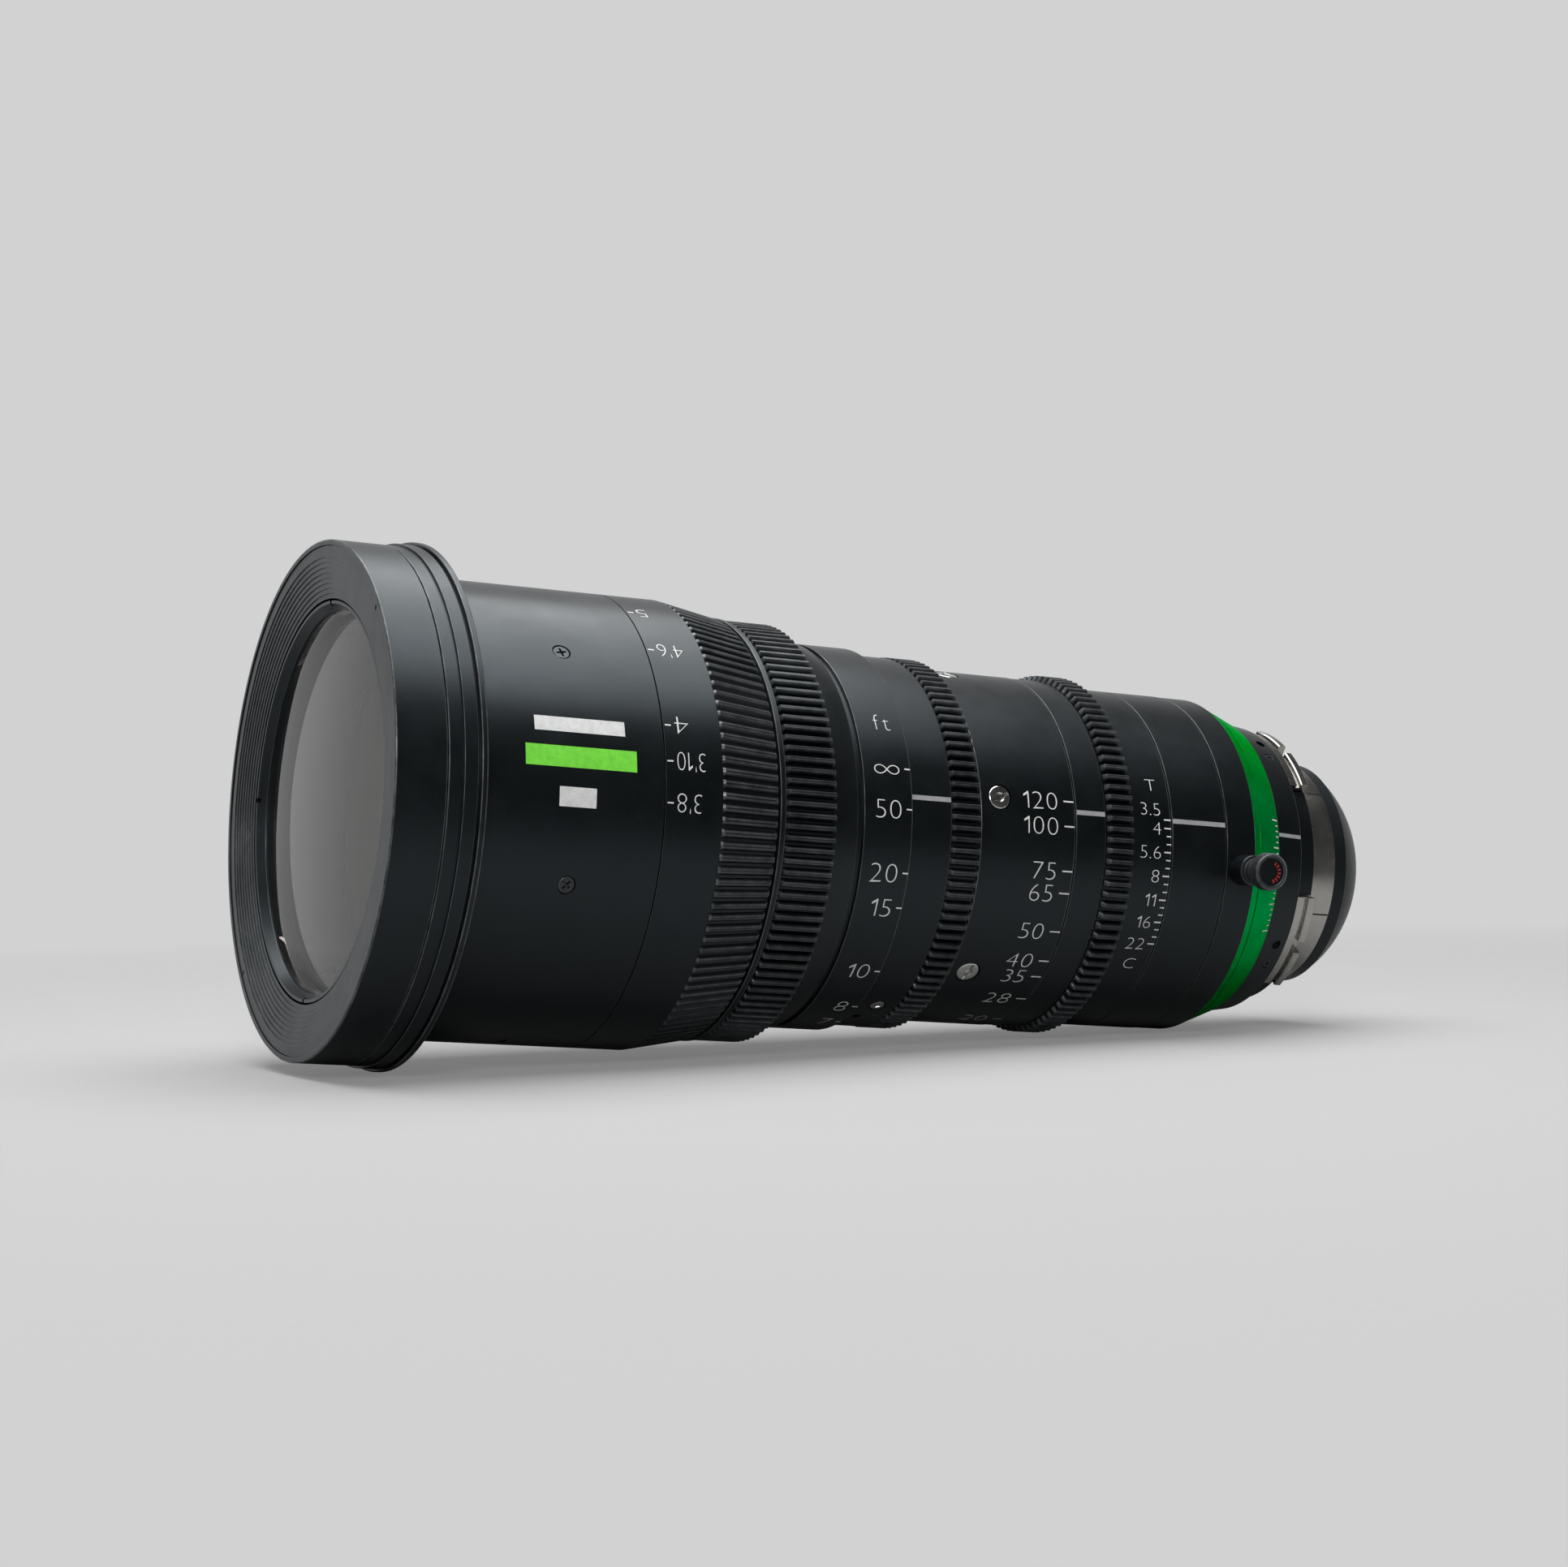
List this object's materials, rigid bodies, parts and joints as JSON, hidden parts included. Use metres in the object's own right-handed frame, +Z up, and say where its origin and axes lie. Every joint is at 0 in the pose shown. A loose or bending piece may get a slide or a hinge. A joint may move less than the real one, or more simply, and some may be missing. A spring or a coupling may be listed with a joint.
{
  "type": "cinema zoom lens",
  "caption": "Cinema zoom lens with geared focus, zoom and iris rings, a macro ring with a pull knob, and a bayonet mount.",
  "frame": {"origin": "on the optical axis, at the rear face of the mount's wings, where the lens seats on a camera", "axes": "+X along the optical axis towards the camera, +Z up, -Y the side with the index lines"},
  "size_m": [0.2611, 0.1164, 0.1164],
  "materials": {
    "front_ring": "satin black anodised",
    "front_retainer": "satin black anodised",
    "flange_ring": "satin black anodised",
    "front_barrel": "satin black anodised",
    "front_cell": "black anodised",
    "front_glass": "coated optical glass",
    "front_inner_glass": "coated optical glass",
    "main_tube": "black anodised",
    "zoom_sleeve": "black anodised",
    "rear_tube": "black anodised",
    "index_ring_1": "satin black anodised",
    "index_ring_2": "satin black anodised",
    "index_ring_3": "satin black anodised",
    "relay_cell": "black anodised",
    "relay_glass": "coated optical glass",
    "iris_base": "turned steel",
    "iris_retainer": "turned steel",
    "base_ring": "satin black anodised",
    "mount_flange": "turned steel",
    "lug_blocks": "satin black",
    "rear_shroud": "coloured anodised",
    "rear_glass": "coated optical glass",
    "focus_ring": "satin black anodised",
    "focus_cell": "black anodised",
    "focus_glass": "coated optical glass",
    "focus_pins": "ground steel",
    "zoom_ring": "satin black anodised",
    "zoom_drive_screws": "turned steel",
    "cam_drum": "black anodised",
    "variator_cell": "black anodised",
    "variator_glass": "coated optical glass",
    "variator_pins": "ground steel",
    "compensator_cell": "black anodised",
    "compensator_glass": "coated optical glass",
    "compensator_pins": "ground steel",
    "iris_ring": "satin black anodised",
    "iris_cam": "turned steel",
    "iris_keys": "ground steel",
    "macro_ring": "satin black anodised",
    "macro_band": "coloured anodised",
    "macro_boss": "satin black anodised",
    "macro_knob": "satin black anodised",
    "macro_cell": "black anodised",
    "macro_glass": "coated optical glass",
    "macro_pins": "ground steel",
    "iris_blade_1": "blackened spring steel",
    "iris_blade_2": "blackened spring steel",
    "iris_blade_3": "blackened spring steel",
    "iris_blade_4": "blackened spring steel",
    "iris_blade_5": "blackened spring steel",
    "iris_blade_6": "blackened spring steel",
    "iris_blade_7": "blackened spring steel",
    "iris_blade_8": "blackened spring steel",
    "iris_blade_9": "blackened spring steel"
  },
  "bodies": {
    "housing": {"front_ring": "front_ring", "front_retainer": "front_retainer", "flange_ring": "flange_ring", "front_barrel": "front_barrel", "front_cell": "front_cell", "front_glass": "front_glass", "front_inner_glass": "front_inner_glass", "main_tube": "main_tube", "zoom_sleeve": "zoom_sleeve", "rear_tube": "rear_tube", "index_ring_1": "index_ring_1", "index_ring_2": "index_ring_2", "index_ring_3": "index_ring_3", "relay_cell": "relay_cell", "relay_glass": "relay_glass", "iris_base": "iris_base", "iris_retainer": "iris_retainer", "base_ring": "base_ring", "mount_flange": "mount_flange", "lug_blocks": "lug_blocks", "rear_shroud": "rear_shroud", "rear_glass": "rear_glass"},
    "focus_ring": {"focus_ring": "focus_ring"},
    "focus_group": {"focus_cell": "focus_cell", "focus_glass": "focus_glass", "focus_pins": "focus_pins"},
    "zoom_ring": {"zoom_ring": "zoom_ring", "zoom_drive_screws": "zoom_drive_screws", "cam_drum": "cam_drum"},
    "variator": {"variator_cell": "variator_cell", "variator_glass": "variator_glass", "variator_pins": "variator_pins"},
    "compensator": {"compensator_cell": "compensator_cell", "compensator_glass": "compensator_glass", "compensator_pins": "compensator_pins"},
    "iris_ring": {"iris_ring": "iris_ring", "iris_cam": "iris_cam", "iris_keys": "iris_keys"},
    "macro_ring": {"macro_ring": "macro_ring", "macro_band": "macro_band", "macro_boss": "macro_boss"},
    "macro_knob": {"macro_knob": "macro_knob"},
    "macro_group": {"macro_cell": "macro_cell", "macro_glass": "macro_glass", "macro_pins": "macro_pins"},
    "iris_blade_1": {"iris_blade_1": "iris_blade_1"},
    "iris_blade_2": {"iris_blade_2": "iris_blade_2"},
    "iris_blade_3": {"iris_blade_3": "iris_blade_3"},
    "iris_blade_4": {"iris_blade_4": "iris_blade_4"},
    "iris_blade_5": {"iris_blade_5": "iris_blade_5"},
    "iris_blade_6": {"iris_blade_6": "iris_blade_6"},
    "iris_blade_7": {"iris_blade_7": "iris_blade_7"},
    "iris_blade_8": {"iris_blade_8": "iris_blade_8"},
    "iris_blade_9": {"iris_blade_9": "iris_blade_9"}
  },
  "joints": [
    {"name": "focus_turn", "type": "hinge", "parent": "housing", "child": "focus_ring", "pos_m": [-0.145, 0, 0], "axis": [-1, 0, 0], "range_deg": [-9, 190]},
    {"name": "focus_slide", "type": "slide", "parent": "housing", "child": "focus_group", "axis": [-1, 0, 0], "range_m": [-0.00054, 0.01146]},
    {"name": "zoom_turn", "type": "hinge", "parent": "housing", "child": "zoom_ring", "pos_m": [-0.087, 0, 0], "axis": [-1, 0, 0], "range_deg": [-3.6, 86]},
    {"name": "variator_slide", "type": "slide", "parent": "housing", "child": "variator", "axis": [-1, 0, 0], "range_m": [-0.00153, 0.03647]},
    {"name": "compensator_slide", "type": "slide", "parent": "housing", "child": "compensator", "axis": [1, 0, 0], "range_m": [-0.0004, 0.0096]},
    {"name": "iris_turn", "type": "hinge", "parent": "housing", "child": "iris_ring", "pos_m": [-0.0535, 0, 0], "axis": [-1, 0, 0], "range_deg": [0, 50.2]},
    {"name": "blade_1_swing", "type": "hinge", "parent": "housing", "child": "iris_blade_1", "pos_m": [-0.0535, 0.021, 0], "axis": [-1, 0, 0], "range_deg": [0, 36.01]},
    {"name": "blade_2_swing", "type": "hinge", "parent": "housing", "child": "iris_blade_2", "pos_m": [-0.0535, 0.01609, -0.0135], "axis": [-1, 0, 0], "range_deg": [0, 36.01]},
    {"name": "blade_3_swing", "type": "hinge", "parent": "housing", "child": "iris_blade_3", "pos_m": [-0.0535, 0.00365, -0.02068], "axis": [-1, 0, 0], "range_deg": [0, 36.01]},
    {"name": "blade_4_swing", "type": "hinge", "parent": "housing", "child": "iris_blade_4", "pos_m": [-0.0535, -0.0105, -0.01819], "axis": [-1, 0, 0], "range_deg": [0, 36.01]},
    {"name": "blade_5_swing", "type": "hinge", "parent": "housing", "child": "iris_blade_5", "pos_m": [-0.0535, -0.01973, -0.00718], "axis": [-1, 0, 0], "range_deg": [0, 36.01]},
    {"name": "blade_6_swing", "type": "hinge", "parent": "housing", "child": "iris_blade_6", "pos_m": [-0.0535, -0.01973, 0.00718], "axis": [-1, 0, 0], "range_deg": [0, 36.01]},
    {"name": "blade_7_swing", "type": "hinge", "parent": "housing", "child": "iris_blade_7", "pos_m": [-0.0535, -0.0105, 0.01819], "axis": [-1, 0, 0], "range_deg": [0, 36.01]},
    {"name": "blade_8_swing", "type": "hinge", "parent": "housing", "child": "iris_blade_8", "pos_m": [-0.0535, 0.00365, 0.02068], "axis": [-1, 0, 0], "range_deg": [0, 36.01]},
    {"name": "blade_9_swing", "type": "hinge", "parent": "housing", "child": "iris_blade_9", "pos_m": [-0.0535, 0.01609, 0.0135], "axis": [-1, 0, 0], "range_deg": [0, 36.01]},
    {"name": "macro_turn", "type": "hinge", "parent": "housing", "child": "macro_ring", "pos_m": [-0.021, 0, 0], "axis": [-1, 0, 0], "range_deg": [-5.1, 36.6]},
    {"name": "macro_slide", "type": "slide", "parent": "housing", "child": "macro_group", "axis": [1, 0, 0], "range_m": [-0.00037, 0.00263]},
    {"name": "macro_knob_pull", "type": "slide", "parent": "macro_ring", "child": "macro_knob", "axis": [0, -0.9998, -0.0209], "range_m": [0, 0.0025], "stiffness_N_per_m": 800}
  ],
  "couplings": [
    {"joint": "focus_slide", "follows": "focus_turn", "m_per_rad": 0.003455},
    {"joint": "variator_slide", "follows": "zoom_turn", "m_per_rad": 0.0243},
    {"joint": "compensator_slide", "follows": "zoom_turn", "m_per_rad": 0.0063946},
    {"joint": "blade_1_swing", "follows": "iris_turn", "ratio": 0.71713},
    {"joint": "blade_2_swing", "follows": "iris_turn", "ratio": 0.71713},
    {"joint": "blade_3_swing", "follows": "iris_turn", "ratio": 0.71713},
    {"joint": "blade_4_swing", "follows": "iris_turn", "ratio": 0.71713},
    {"joint": "blade_5_swing", "follows": "iris_turn", "ratio": 0.71713},
    {"joint": "blade_6_swing", "follows": "iris_turn", "ratio": 0.71713},
    {"joint": "blade_7_swing", "follows": "iris_turn", "ratio": 0.71713},
    {"joint": "blade_8_swing", "follows": "iris_turn", "ratio": 0.71713},
    {"joint": "blade_9_swing", "follows": "iris_turn", "ratio": 0.71713},
    {"joint": "macro_slide", "follows": "macro_turn", "m_per_rad": 0.004122}
  ]
}
